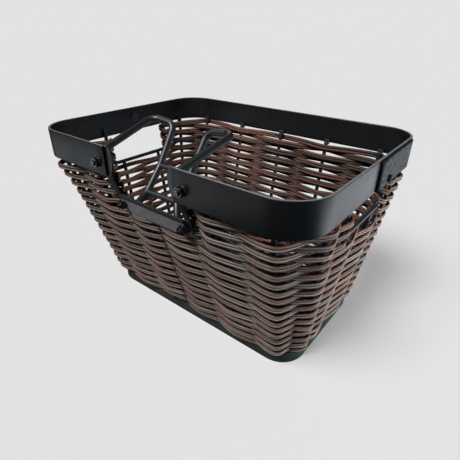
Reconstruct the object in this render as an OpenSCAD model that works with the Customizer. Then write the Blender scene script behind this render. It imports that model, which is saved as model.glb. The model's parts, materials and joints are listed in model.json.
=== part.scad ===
// Woven basket on a wire frame, with a flat metal rim band, a handlebar recess
// at the front and a hand-hold in each end wall.
// Millimetres. +Z is up, +X runs to the right along the rim, -Y is the front.
// The origin lies on the floor, below the middle of the rim.

/* [Rim band] */
// Length of the rim over its outer faces
rim_length = 400; // [380:2:420]
// Width of the rim over its outer faces
rim_width = 296; // [284:2:308]
// Outer radius of the rim's corners
rim_corner_r = 43; // [38:1:48]
// Height of the rim's top edge above the floor
rim_height = 255; // [250:1:262]
// Height of the flat band
band_height = 36; // [32:1:38]
// Thickness of the flat band
band_thickness = 3; // [2:0.5:3.5]
// Width of the gap in the front of the band
recess_gap = 108; // [104:1:112]

/* [Base board] */
// Length of the base board
base_length = 334; // [326:2:342]
// Width of the base board
base_width = 190; // [184:2:196]
// How far the base sits behind the middle of the rim
base_shift = 13; // [10:1:16]
// Corner radius of the base board
base_corner_r = 34; // [30:1:38]
// Thickness of the base board
base_thickness = 14; // [12:1:16]

/* [Stakes] */
// Diameter of an upright stake
stake_d = 5.5; // [5:0.1:5.8]
// Depth of a stake's socket in the base board
socket_depth = 9; // [6:1:10]
// Distance of the inner pair of front stakes from the middle
front_inner_x = 28.5; // [26:0.5:31]
// Distance of the next pair of front stakes from the middle
front_outer_x = 88; // [84:1:92]
// Distance of the back stakes from the middle one
back_stake_x = 78; // [72:1:84]
// Middle of an end wall's hand-hold, behind the middle of the rim
hold_middle_y = 8; // [4:1:12]
// Half the distance between the two stakes below a hand-hold
hold_stake_half = 36; // [32:1:40]

/* [Weave] */
// Rise from one course to the next
course_pitch = 6.5; // [6.4:0.05:6.5]
// Height of one course
course_height = 6.2; // [6:0.1:6.3]
// Thickness of one course
course_thickness = 3; // [2.6:0.1:3]
// How far a course swings to each side of the stakes, at the floor
swing_low = 6.2; // [6:0.1:6.4]
// How far a course swings to each side of the stakes, at the rim
swing_top = 7.2; // [7:0.1:7.4]

/* [Hand-holds] */
// Width of a hand-hold between its upright rods' axes
hold_width = 116; // [112:1:120]
// Height of the hand-hold's lower bar above the floor
hold_bar_z = 178; // [177:0.5:179]
// Bend radius of the hand-hold's rod
hold_bend_r = 13; // [10:1:15]

/* [Recess frame] */
// Diameter of the hoops' rod
hoop_d = 8.4; // [7.5:0.1:9]
// Diameter of the cross bars
cross_bar_d = 7; // [6:0.1:7.5]
// Width of the straps at the sides of the gap
strap_width = 8; // [7:0.5:9]
// Bend radius of a hoop
hoop_bend_r = 11; // [9:1:13]
// Length of the recess's lower plate
plate_length = 106; // [104:1:108]
// Height of the recess's lower plate along the wall
plate_height = 24; // [22:1:25]
// Thickness of the recess's lower plate
plate_thickness = 2.5; // [2:0.5:3]

/* [Fasteners] */
// Diameter of the recess's bolts
bolt_d = 6; // [5:0.5:6]
// Width across the flats of a nut
nut_flats = 10; // [9:0.5:11]
// Thickness of a nut
nut_height = 4.6; // [4:0.2:5]
// Diameter of a washer
washer_d = 12.5; // [12:0.5:13]
// Thickness of a washer
washer_height = 1.2; // [1:0.1:1.4]
// Diameter of a bolt's round head
head_d = 10.5; // [10:0.5:11]
// Height of a bolt's round head
head_height = 3; // [2.5:0.1:3.2]

/* [Hidden] */
$fn = 48;
course_count = 31;
full_courses = 24;
course_names = [for (i = [1 : course_count]) str("weave_course_", i < 10 ? "0" : "", i)];

band_color = [0.11, 0.12, 0.13];
rod_color = [0.19, 0.2, 0.22];
bolt_color = [0.07, 0.07, 0.08];
board_color = [0.2, 0.22, 0.21];
weave_colors = [[0.47, 0.44, 0.41], [0.5, 0.36, 0.29]];

band_bottom = rim_height - band_height;
band_inner_y = rim_width / 2 - band_thickness;
band_inner_x = rim_length / 2 - band_thickness;
clearance = 0.25;
touch = 0.1;

// The stakes' axes lie on one tapered surface, inside the band and the board's edge.
stake_inset_top = 0.5;
stake_inset_base = 5.5;
top_half_x = rim_length / 2 - stake_inset_top;
top_half_y = rim_width / 2 - stake_inset_top;
top_r = rim_corner_r - stake_inset_top;
low_half_x = base_length / 2 - stake_inset_base;
low_half_y = base_width / 2 - stake_inset_base;
low_r = base_corner_r - stake_inset_base;
stake_low_z = base_thickness - socket_depth;

function unit(v) = v / norm(v);
function taper(low, top, z) = low + (top - low) * z / rim_height;
function half_x(z) = taper(low_half_x, top_half_x, z);
function half_y(z) = taper(low_half_y, top_half_y, z);
function corner_r(z) = taper(low_r, top_r, z);
function middle_y(z) = taper(base_shift, 0, z);

// Lengths along the surface's outline at height z, from the middle of the front.
function front_run(z) = half_x(z) - corner_r(z);
function corner_run(z) = PI / 2 * corner_r(z);
function side_run(z) = 2 * (half_y(z) - corner_r(z));
function half_turn(z) = 2 * front_run(z) + 2 * corner_run(z) + side_run(z);

// Point and outward normal, [x, y, nx, ny], at length s along the right half.
function right_outline(s, z) =
    let (f = front_run(z), c = corner_run(z), e = side_run(z), r = corner_r(z),
         y0 = middle_y(z) - half_y(z), y1 = middle_y(z) + half_y(z))
    s < f ? [s, y0, 0, -1] :
    s < f + c ? let (a = -90 + 90 * (s - f) / c)
        [f + r * cos(a), y0 + r + r * sin(a), cos(a), sin(a)] :
    s < f + c + e ? [half_x(z), y0 + r + s - f - c, 1, 0] :
    s < f + 2 * c + e ? let (a = 90 * (s - f - c - e) / c)
        [f + r * cos(a), y1 - r + r * sin(a), cos(a), sin(a)] :
    [half_turn(z) - s, y1, 0, 1];

// The left half mirrors the right one.
function outline(s, z) =
    s <= half_turn(z) ? right_outline(s, z) :
    let (p = right_outline(2 * half_turn(z) - s, z)) [-p[0], p[1], -p[2], p[3]];

// How far a corner stake stands round its corner, in degrees from the straight wall.
front_corner_turn_low = 21;
front_corner_turn_top = 12;
end_front_turn = 2;
end_back_turn = 9;
back_corner_turn = 5;

// Length along the outline of a point at height z on the right end wall.
function end_wall_run(y, z) =
    front_run(z) + corner_run(z) + y - (middle_y(z) - half_y(z) + corner_r(z));
function arc_run(turn, z) = corner_r(z) * turn * PI / 180;

// Stakes from the middle of the front round to the middle of the back.
function right_stake_runs(z) =
    let (f = front_run(z), c = corner_run(z), e = side_run(z))
    [front_inner_x, front_outer_x,
     f + arc_run(taper(front_corner_turn_low, front_corner_turn_top, z), z),
     f + c - arc_run(end_front_turn, z),
     end_wall_run(hold_middle_y - hold_stake_half, z),
     end_wall_run(hold_middle_y + hold_stake_half, z),
     f + c + e + arc_run(end_back_turn, z),
     f + 2 * c + e - arc_run(back_corner_turn, z),
     half_turn(z) - back_stake_x, half_turn(z)];
stake_count = 2 * len(right_stake_runs(0)) - 1;
function stake_run(i, z) =
    let (right = right_stake_runs(z), last = len(right) - 1)
    i <= last ? right[i] : 2 * half_turn(z) - right[2 * last - i];

front_stake_ids = [0, 1, 2, 16, 17, 18];
right_stake_ids = [3, 4, 5, 6];
back_stake_ids = [7, 8, 9, 10, 11];
left_stake_ids = [12, 13, 14, 15];

// Stakes that stop at the recess's plate and at the hand-holds' bars.
hold_stake_ids = [4, 5, 13, 14];
recess_stake_ids = [0, 18];
function stake_is(i, ids) = len([for (k = ids) if (k == i) k]) > 0;

// Posts that a course weaves round: stakes, or above the full courses the recess's
// edges and the hand-holds' uprights in place of the stakes that stop below.
recess_edge_x = 57;
function post_run(i, z, full) =
    full ? stake_run(i, z) :
    i == 0 ? recess_edge_x :
    i == 18 ? 2 * half_turn(z) - recess_edge_x :
    i == 4 ? end_wall_run(hold_middle_y - hold_width / 2, z) :
    i == 5 ? end_wall_run(hold_middle_y + hold_width / 2, z) :
    i == 13 ? 2 * half_turn(z) - end_wall_run(hold_middle_y + hold_width / 2, z) :
    i == 14 ? 2 * half_turn(z) - end_wall_run(hold_middle_y - hold_width / 2, z) :
    stake_run(i, z);

// A course passes each post on one side of it, and behind the recess's edge straps.
swing_at_edge = [-2, -6.4];
function pass_offset(i, z, side, full) =
    let (outside = (i % 2 == 0 ? side : -side) > 0)
    !full && stake_is(i, recess_stake_ids) ? swing_at_edge[outside ? 0 : 1] :
    (outside ? 1 : -1) * taper(swing_low, swing_top, z);
function pass_point(i, z, side, full) =
    let (p = outline(post_run((i + 2 * stake_count) % stake_count, z, full), z),
         out = pass_offset(i, z, side, full))
    [p[0] + out * p[2], p[1] + out * p[3]];

// Heading of a course at post i, on the way from post first to post last. At those
// two it runs along the wall.
function pass_heading(i, z, side, full, first, last) =
    i == first || i == last ? let (p = outline(post_run(i, z, full), z)) [-p[3], p[2]] :
    unit(pass_point(i + 1, z, side, full) - pass_point(i - 1, z, side, full));

// Point of a course at weave position t: post i stands at t = i + 0.5.
function course_point(t, z, side, full, first, last) =
    let (i = min(max(floor(t - 0.5), first), last - 1), u = t - 0.5 - i,
         a = pass_point(i, z, side, full), b = pass_point(i + 1, z, side, full), d = norm(b - a))
    a * (2 * pow(u, 3) - 3 * u * u + 1) + b * (3 * u * u - 2 * pow(u, 3))
    + d * pass_heading(i, z, side, full, first, last) * (pow(u, 3) - 2 * u * u + u)
    + d * pass_heading(i + 1, z, side, full, first, last) * (pow(u, 3) - u * u);

samples_per_span = 6;

// One course as a strip that swings out of and into the row of stakes.
module course_strip(t0, t1, z, side, full, first, last) {
    steps = round((t1 - t0) * samples_per_span);
    line = [for (n = [0 : steps])
        course_point(t0 + (t1 - t0) * n / steps, z, side, full, first, last)];
    across = [for (n = [0 : steps])
        let (v = unit(line[min(n + 1, steps)] - line[max(n - 1, 0)])) [v[1], -v[0]]];
    outer = [for (n = [0 : steps]) line[n] + course_thickness / 2 * across[n]];
    inner = [for (n = [steps : -1 : 0]) line[n] - course_thickness / 2 * across[n]];
    linear_extrude(course_height) polygon(concat(outer, inner));
}

first_course_z = base_thickness + 0.3;
seam_gap = 0.01;
wrap = 0.07;

module weave_course(i) {
    z = first_course_z + (i - 1) * course_pitch;
    middle_z = z + course_height / 2;
    side = i % 2 == 0 ? 1 : -1;
    color(weave_colors[i % 2]) translate([0, 0, z])
        if (i <= full_courses) {
            course_strip(seam_gap, stake_count - seam_gap, middle_z, side, true, -2, stake_count + 1);
        } else {
            for (ends = [[0, 4], [5, 13], [14, 18]])
                course_strip(ends[0] + 0.5 - wrap, ends[1] + 0.5 + wrap, middle_z, side, false,
                             ends[0], ends[1]);
        }
}

// A round rod from point a to point b.
module rod(a, b, d) {
    v = b - a;
    translate(a)
        rotate([0, acos(v[2] / norm(v)), atan2(v[1], v[0])])
            rotate([0, 0, 180]) cylinder(h = norm(v), d = d);
}

// Points of the round bend of radius r at corner b, on the way from a to c.
function bend_points(a, b, c, r) =
    let (u = unit(a - b), w = unit(c - b), turn = 180 - acos(u * w),
         centre = b + unit(u + w) * r / cos(turn / 2),
         x = unit(b + u * r * tan(turn / 2) - centre), steps = ceil(turn / 11))
    [for (k = [0 : steps])
        centre + r * (cos(turn * k / steps) * x - sin(turn * k / steps) * u)];

// A rod bent along a list of points, with the same bend radius at each corner.
module bent_rod(path, d, r, sides = 16) {
    last = len(path) - 1;
    line = concat([path[0]],
                  [for (i = [1 : last - 1], p = bend_points(path[i - 1], path[i], path[i + 1], r)) p],
                  [path[last]]);
    n = len(line);
    heading = [for (i = [0 : n - 1]) unit(line[min(i + 1, n - 1)] - line[max(i - 1, 0)])];
    // Each ring keeps the last one's sideways direction as nearly as it can.
    across = [for (i = 0, v = unit(cross(heading[0], [1, 2, 3])); i < n;
                   i = i + 1, v = i < n ? unit(v - heading[i] * (v * heading[i])) : v) v];
    points = [for (i = [0 : n - 1], k = [0 : sides - 1])
        let (a = 360 * k / sides)
        line[i] + d / 2 * (cos(a) * across[i] + sin(a) * cross(heading[i], across[i]))];
    walls = [for (i = [0 : n - 2], k = [0 : sides - 1])
        let (m = (k + 1) % sides)
        [i * sides + k, (i + 1) * sides + k, (i + 1) * sides + m, i * sides + m]];
    ends = [[for (k = [0 : sides - 1]) k],
            [for (k = [sides - 1 : -1 : 0]) (n - 1) * sides + k]];
    polyhedron(points, concat(walls, ends));
}

// A block with upright round corners, standing on z = 0.
module rounded_block(length, width, r, h) {
    translate([-length / 2 + r, -width / 2, 0]) cube([length - 2 * r, width, h]);
    translate([-length / 2, -width / 2 + r, 0]) cube([length, width - 2 * r, h]);
    for (x = [-1, 1], y = [-1, 1])
        translate([x * (length / 2 - r), y * (width / 2 - r), 0]) cylinder(h = h, r = r);
}

function stake_point(i, z) = let (p = outline(stake_run(i, z), z)) [p[0], p[1], z];

module stake_rod(i, d, z0, z1) {
    rod(stake_point(i, z0), stake_point(i, z1), d);
}

module base_board() {
    color(board_color) difference() {
        translate([0, base_shift, 0])
            rounded_block(base_length, base_width, base_corner_r, base_thickness);
        for (i = [0 : stake_count - 1])
            stake_rod(i, stake_d + clearance, stake_low_z, base_thickness + 2);
    }
}

recess_stake_top = 166;
hold_stake_top = hold_bar_z - stake_d / 2 - clearance;
tab_width = 7;
tab_top = band_bottom + 5;
tab_low = band_bottom - 2;

// The foot block that joins a stake's top to the band's inner face.
module stake_tab(i) {
    p = outline(stake_run(i, tab_low), tab_low);
    straight = min(abs(p[2]), abs(p[3])) < 0.01;
    reach = !straight ? corner_reach(p) :
            abs(p[2]) > abs(p[3]) ? band_inner_x - abs(p[0]) : band_inner_y - abs(p[1]);
    translate([p[0], p[1], tab_low]) rotate([0, 0, atan2(p[3], p[2])])
        translate([0, -tab_width / 2, 0]) cube([reach - touch, tab_width, tab_top - tab_low]);
}

// Distance along its normal from a corner stake to the band's inner face.
function corner_reach(p) =
    let (r = rim_corner_r - band_thickness,
         cx = sign(p[0]) * (rim_length / 2 - rim_corner_r),
         cy = sign(p[1]) * (rim_width / 2 - rim_corner_r),
         d = [p[0] - cx, p[1] - cy], n = [p[2], p[3]],
         b = d * n, c = d * d - r * r)
    -b + sqrt(b * b - c);

module stake(i) {
    if (stake_is(i, recess_stake_ids)) stake_rod(i, stake_d, stake_low_z, recess_stake_top);
    else if (stake_is(i, hold_stake_ids)) stake_rod(i, stake_d, stake_low_z, hold_stake_top);
    else {
        stake_rod(i, stake_d, stake_low_z, band_bottom);
        stake_tab(i);
    }
}

module front_stakes() color(rod_color) for (i = front_stake_ids) stake(i);
module back_stakes() color(rod_color) for (i = back_stake_ids) stake(i);
module left_stakes() color(rod_color) for (i = left_stake_ids) stake(i);
module right_stakes() color(rod_color) for (i = right_stake_ids) stake(i);

// A hand-hold's rod: down from the band, along under the hand, and up again.
hold_top_z = band_bottom + 12;
hold_knee_z = band_bottom - 3;
module hand_hold_rod(side) {
    top_x = side * (band_inner_x - stake_d / 2 - touch);
    y0 = hold_middle_y - hold_width / 2;
    y1 = hold_middle_y + hold_width / 2;
    bar_x = side * half_x(hold_bar_z);
    color(rod_color)
        bent_rod([[top_x, y0, hold_top_z], [top_x, y0, hold_knee_z], [bar_x, y0, hold_bar_z],
                  [bar_x, y1, hold_bar_z], [top_x, y1, hold_knee_z], [top_x, y1, hold_top_z]],
                 stake_d, hold_bend_r);
}
module left_hand_hold_rod() hand_hold_rod(-1);
module right_hand_hold_rod() hand_hold_rod(1);

// The recess's parts lie against the leaning front wall.
front_lean = atan2(half_y(rim_height) - half_y(0) + middle_y(0), rim_height);
function front_y(z) = middle_y(z) - half_y(z);
lower_bolt_x = 50.4;
lower_bolt_z = 183.5;
lower_bolt_y = front_y(lower_bolt_z) + 0.4;
upper_bolt_x = 66.5;
upper_bolt_z = 234.5;
lug_thickness = 2.6;
lug_d = 15;
plate_gap = 3.6;

module at_lower_bolt(side) {
    translate([side * lower_bolt_x, lower_bolt_y, lower_bolt_z])
        rotate([90 + front_lean, 0, 0]) children();
}
module at_upper_bolt(side) {
    translate([side * upper_bolt_x, -rim_width / 2, upper_bolt_z]) rotate([90, 0, 0]) children();
}
bolt_hole_d = bolt_d + 2 * clearance;

module rim_band() {
    color(band_color) difference() {
        translate([0, 0, band_bottom])
            rounded_block(rim_length, rim_width, rim_corner_r, band_height);
        translate([0, 0, band_bottom - 1])
            rounded_block(2 * band_inner_x, 2 * band_inner_y,
                          rim_corner_r - band_thickness, band_height + 2);
        translate([-recess_gap / 2, -rim_width / 2 - 1, band_bottom - 1])
            cube([recess_gap, 12, band_height + 2]);
        for (side = [-1, 1]) at_upper_bolt(side)
            translate([0, 0, -band_thickness - 1]) cylinder(h = band_thickness + 2, d = bolt_hole_d);
        translate([band_inner_x - 1, screw_y, screw_z]) rotate([0, 90, 0])
            cylinder(h = band_thickness + 2, d = screw_d + 2 * clearance);
        translate([-rim_length / 2 - 1, rivet_y, rivet_z]) rotate([0, 90, 0])
            cylinder(h = band_thickness + 2, d = rivet_shank_d + 2 * clearance);
    }
}

// The plate that covers the band's joint on the right-hand end.
joint_plate_y0 = 1;
joint_plate_y1 = rim_width / 2 - rim_corner_r;
joint_plate_thickness = 2.4;
joint_plate_margin = 1;
joint_notch = 7;
screw_y = 32;
screw_z = band_bottom + 8;
screw_d = 4;
screw_head_d = 8.5;

module joint_plate() {
    color(band_color) difference() {
        translate([rim_length / 2, joint_plate_y0, band_bottom + joint_plate_margin])
            cube([joint_plate_thickness, joint_plate_y1 - joint_plate_y0,
                  band_height - 2 * joint_plate_margin]);
        translate([rim_length / 2 - 1, joint_plate_y0 + joint_notch,
                   rim_height - joint_plate_margin - joint_notch / 2])
            cube([joint_plate_thickness + 2, joint_notch, joint_notch]);
        translate([rim_length / 2 - 1, screw_y, screw_z]) rotate([0, 90, 0])
            cylinder(h = joint_plate_thickness + 2, d = screw_d + 2 * clearance);
    }
}

module joint_plate_screw() {
    nut_d = 7.5;
    color(bolt_color) translate([band_inner_x, screw_y, screw_z]) rotate([0, 90, 0]) {
        translate([0, 0, -3]) cylinder(h = 3, d = nut_d);
        cylinder(h = band_thickness + joint_plate_thickness, d = screw_d);
        translate([0, 0, band_thickness + joint_plate_thickness])
            cylinder(h = 2, d = screw_head_d);
    }
}

rivet_y = 10.5;
rivet_z = rim_height - 15;
rivet_shank_d = 4;
rivet_head_d = 13;
rivet_head_height = 1.4;

module side_rivet() {
    color(bolt_color) translate([-band_inner_x, rivet_y, rivet_z]) rotate([0, -90, 0]) {
        translate([0, 0, -rivet_head_height]) cylinder(h = rivet_head_height, d = rivet_head_d);
        cylinder(h = band_thickness, d = rivet_shank_d);
        translate([0, 0, band_thickness]) cylinder(h = rivet_head_height, d = rivet_head_d);
    }
}

// A hoop: in from the gusset, across the top and down to its foot behind the plate.
hoop_end_x = 57.5;
hoop_end_z = 250;
hoop_end_y = -band_inner_y + lug_thickness - 0.4;
hoop_out_x = 63.7;
hoop_in_x = 26.7;
hoop_leg_x = 24.5;
hoop_tip_y = -64;
hoop_out_z = 271;
hoop_in_z = 267;
upper_bar_y = -93;
upper_bar_z = 224.5;
lower_bar_y = -116;
lower_bar_z = 198.5;
foot_x = 33;
foot_z = 185;
foot_inset = 2.9;

module recess_hoop(side) {
    path = [[side * hoop_end_x, hoop_end_y, hoop_end_z],
            [side * hoop_out_x, hoop_tip_y, hoop_out_z],
            [side * hoop_in_x, hoop_tip_y, hoop_in_z],
            [side * hoop_leg_x, upper_bar_y, upper_bar_z],
            [side * hoop_leg_x, lower_bar_y, lower_bar_z],
            [side * foot_x, front_y(foot_z) + foot_inset, foot_z]];
    color(rod_color) bent_rod(path, hoop_d, hoop_bend_r);
}

// A strap at the side of the gap: a gusset bolted behind the band's end, a flat bar that
// leans in down to the wall, and a round lug under the plate.
gusset_outline = [[75, 226], [75, 244], [67, 253.5], [50, 253.5], [46, 250.5], [44.2, 245],
                  [44.2, 236], [46.5, 229], [50, 220], [58, 217], [62, 218.5]];
strap_x = 57.8;
strap_thickness = 2;
strap_top_z = 222;
strap_top_y = -band_inner_y + touch + lug_thickness / 2;
lug_gap = plate_gap - lug_thickness - touch;
strap_low_y = lower_bolt_y - lug_gap - lug_thickness / 2;
strap_lean = atan2(strap_low_y - strap_top_y, strap_top_z - lower_bolt_z);
strap_length = norm([strap_low_y - strap_top_y, strap_top_z - lower_bolt_z]);
drill_length = 30;

module edge_strap_shape(side) {
    translate([0, -band_inner_y + touch + lug_thickness, 0]) rotate([90, 0, 0])
        linear_extrude(lug_thickness) polygon([for (p = gusset_outline) [side * p[0], p[1]]]);
    translate([side * strap_x, strap_low_y, lower_bolt_z]) rotate([strap_lean, 0, 0])
        translate([-strap_width / 2, -strap_thickness / 2, 0])
            cube([strap_width, strap_thickness, strap_length]);
    at_lower_bolt(side) translate([0, 0, lug_gap]) cylinder(h = lug_thickness, d = lug_d);
}

module recess_edge_strap(side) {
    color(rod_color) difference() {
        edge_strap_shape(side);
        at_upper_bolt(side) translate([0, 0, -drill_length / 2])
            cylinder(h = drill_length, d = bolt_hole_d);
        at_lower_bolt(side) translate([0, 0, -drill_length / 2])
            cylinder(h = drill_length, d = bolt_hole_d);
    }
}
module recess_edge_strap_left() recess_edge_strap(-1);
module recess_edge_strap_right() recess_edge_strap(1);
module recess_hoop_left() recess_hoop(-1);
module recess_hoop_right() recess_hoop(1);

// A cross bar, welded a little way into the hoops' inner legs.
weld_depth = 2;
module cross_bar(y, z) {
    half = hoop_leg_x - hoop_d / 2 + weld_depth;
    color(rod_color) rod([-half, y, z], [half, y, z], cross_bar_d);
}
module recess_cross_bar_upper() cross_bar(upper_bar_y, upper_bar_z);
module recess_cross_bar_lower() cross_bar(lower_bar_y, lower_bar_z);

// The flat plate along the recess's lower edge, on the leaning wall.
module recess_plate() {
    color(board_color) difference() {
        translate([0, lower_bolt_y, lower_bolt_z]) rotate([90 + front_lean, 0, 0])
            translate([-plate_length / 2, -plate_height / 2, plate_gap])
                cube([plate_length, plate_height, plate_thickness]);
        for (side = [-1, 1]) at_lower_bolt(side) cylinder(h = 20, d = bolt_hole_d);
    }
}

// A bolt along +Z, its head under z = 0 and its thread's end above the nut.
module bolt(grip) {
    translate([0, 0, -head_height]) cylinder(h = head_height, d = head_d);
    cylinder(h = grip + washer_height + nut_height + 2.5, d = bolt_d);
}
module nut() {
    difference() {
        cylinder(h = nut_height, d = nut_flats / cos(30), $fn = 6);
        translate([0, 0, -1]) cylinder(h = nut_height + 2, d = bolt_hole_d, $fn = 48);
    }
}
module washer() {
    difference() {
        cylinder(h = washer_height, d = washer_d);
        translate([0, 0, -1]) cylinder(h = washer_height + 2, d = bolt_hole_d);
    }
}
upper_grip = band_thickness + lug_thickness + touch;
lower_grip = plate_thickness + lug_thickness + touch;
lower_face = plate_gap + plate_thickness;

module recess_bolts() color(bolt_color) for (side = [-1, 1]) {
    at_upper_bolt(side) translate([0, 0, -upper_grip]) bolt(upper_grip);
    at_lower_bolt(side) translate([0, 0, lower_face - lower_grip]) bolt(lower_grip);
}
module recess_washers() color(bolt_color) for (side = [-1, 1]) {
    at_upper_bolt(side) washer();
    at_lower_bolt(side) translate([0, 0, lower_face]) washer();
}
module recess_nuts() color(bolt_color) for (side = [-1, 1]) {
    at_upper_bolt(side) translate([0, 0, washer_height]) nut();
    at_lower_bolt(side) translate([0, 0, lower_face + washer_height]) nut();
}

base_board();
rim_band();
joint_plate();
joint_plate_screw();
side_rivet();
front_stakes();
back_stakes();
left_stakes();
right_stakes();
left_hand_hold_rod();
right_hand_hold_rod();
recess_hoop_left();
recess_hoop_right();
recess_cross_bar_upper();
recess_cross_bar_lower();
recess_edge_strap_left();
recess_edge_strap_right();
recess_plate();
recess_bolts();
recess_nuts();
recess_washers();
for (i = [1 : course_count])
    weave_course(i);
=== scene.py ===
"""Woven basket on a wire frame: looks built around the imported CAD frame, in metres."""

import json
import math

import bpy
from mathutils import Matrix, Vector, noise

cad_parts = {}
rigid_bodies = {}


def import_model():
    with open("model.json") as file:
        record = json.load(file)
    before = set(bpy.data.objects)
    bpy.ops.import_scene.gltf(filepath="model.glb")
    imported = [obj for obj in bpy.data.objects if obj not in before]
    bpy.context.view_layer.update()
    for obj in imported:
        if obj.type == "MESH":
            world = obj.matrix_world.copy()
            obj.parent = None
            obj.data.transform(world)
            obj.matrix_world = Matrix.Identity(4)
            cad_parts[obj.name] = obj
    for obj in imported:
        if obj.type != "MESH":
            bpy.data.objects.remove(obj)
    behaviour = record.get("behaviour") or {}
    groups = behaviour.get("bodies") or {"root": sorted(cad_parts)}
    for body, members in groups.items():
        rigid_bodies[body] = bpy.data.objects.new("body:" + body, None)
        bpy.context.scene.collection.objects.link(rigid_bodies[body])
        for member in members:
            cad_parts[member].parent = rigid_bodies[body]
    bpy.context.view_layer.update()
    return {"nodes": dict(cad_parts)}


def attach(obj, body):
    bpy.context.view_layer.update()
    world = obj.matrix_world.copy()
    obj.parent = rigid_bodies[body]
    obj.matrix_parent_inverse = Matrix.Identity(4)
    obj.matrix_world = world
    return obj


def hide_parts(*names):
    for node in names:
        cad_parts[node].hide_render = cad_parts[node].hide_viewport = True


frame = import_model()
MM = 0.001

# ---------------------------------------------------------------- the basket's outline, in mm
RIM_LENGTH, RIM_WIDTH, RIM_R, RIM_Z = 400.0, 296.0, 43.0, 255.0
BAND_HEIGHT, BAND_THICKNESS, GAP = 36.0, 3.0, 108.0
BAND_LOW = RIM_Z - BAND_HEIGHT
STAKE_D = 5.5
POSTS = 19
HOLD_MIDDLE, HOLD_HALF, HOLD_STAKE_HALF = 8.0, 58.0, 36.0
# the line of the stakes, each value at the floor and at the rim
HALF_X, HALF_Y = (161.5, 199.5), (89.5, 147.5)
CORNER_R, MIDDLE_Y = (28.5, 42.5), (13.0, 0.0)
# stakes of the front and back walls, by their distance from the middle
FRONT_STAKES, BACK_STAKE = (28.5, 88.0), 78.0
# stakes of the corners, in degrees from the corner's start or end; the first one's angle tapers
NEAR_CORNER_FIRST, NEAR_CORNER_LAST = (21, 12), 2
FAR_CORNER_FIRST, FAR_CORNER_LAST = 9, 5
# where the recess's edge and the hand-holds' rods stand in for stakes, and on which side of the hand-hold
RECESS_EDGE_X = 57.0
HOLD_RODS = {4: -HOLD_HALF, 5: HOLD_HALF}


def taper(low, top, z):
    """A value that changes evenly from low at the floor to top at the rim."""
    return low + (top - low) * z / RIM_Z


def half_x(z):
    return taper(*HALF_X, z)


def half_y(z):
    return taper(*HALF_Y, z)


def corner_r(z):
    return taper(*CORNER_R, z)


def middle_y(z):
    return taper(*MIDDLE_Y, z)


def front_y(z):
    return middle_y(z) - half_y(z)


def runs(z):
    """Lengths along the outline at height z: half the front, a corner, an end wall, half a turn."""
    f, c, e = half_x(z) - corner_r(z), math.pi / 2 * corner_r(z), 2 * (half_y(z) - corner_r(z))
    return f, c, e, 2 * f + 2 * c + e


def right_outline(s, z):
    """(x, y, normal x, normal y) at length s from the middle of the front, on the right half."""
    f, c, e, turn = runs(z)
    r = corner_r(z)
    y0, y1 = middle_y(z) - half_y(z), middle_y(z) + half_y(z)
    if s < f:
        return s, y0, 0.0, -1.0
    if s < f + c:
        a = math.pi / 2 * ((s - f) / c - 1)
        return f + r * math.cos(a), y0 + r + r * math.sin(a), math.cos(a), math.sin(a)
    if s < f + c + e:
        return half_x(z), y0 + r + s - f - c, 1.0, 0.0
    if s < f + 2 * c + e:
        a = math.pi / 2 * (s - f - c - e) / c
        return f + r * math.cos(a), y1 - r + r * math.sin(a), math.cos(a), math.sin(a)
    return turn - s, y1, 0.0, 1.0


def outline(s, z):
    """(x, y, normal x, normal y) at length s round the whole outline."""
    turn = runs(z)[3]
    s %= 2 * turn
    if s <= turn:
        return right_outline(s, z)
    x, y, nx, ny = right_outline(2 * turn - s, z)
    return -x, y, -nx, ny


def end_wall_run(y, z):
    """Length along the outline to the place on the right-hand end wall at this y."""
    f, c, _, _ = runs(z)
    return f + c + y - (middle_y(z) - half_y(z) + corner_r(z))


def arc_run(degrees, z):
    return corner_r(z) * math.radians(degrees)


def stake_run(i, z):
    """Where stake i stands along the outline at height z."""
    f, c, e, turn = runs(z)
    right = [*FRONT_STAKES,
             f + arc_run(taper(*NEAR_CORNER_FIRST, z), z), f + c - arc_run(NEAR_CORNER_LAST, z),
             end_wall_run(HOLD_MIDDLE - HOLD_STAKE_HALF, z),
             end_wall_run(HOLD_MIDDLE + HOLD_STAKE_HALF, z),
             f + c + e + arc_run(FAR_CORNER_FIRST, z), f + 2 * c + e - arc_run(FAR_CORNER_LAST, z),
             turn - BACK_STAKE, turn]
    return right[i] if i <= POSTS // 2 else 2 * turn - right[POSTS - 1 - i]


def post_run(i, z, full):
    """Stake i, or above the full courses what stands in for the stakes that stop below."""
    if full:
        return stake_run(i, z)
    if i > POSTS // 2:
        return 2 * runs(z)[3] - post_run(POSTS - 1 - i, z, full)
    if i == 0:
        return RECESS_EDGE_X
    if i in HOLD_RODS:
        return end_wall_run(HOLD_MIDDLE + HOLD_RODS[i], z)
    return stake_run(i, z)


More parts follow.
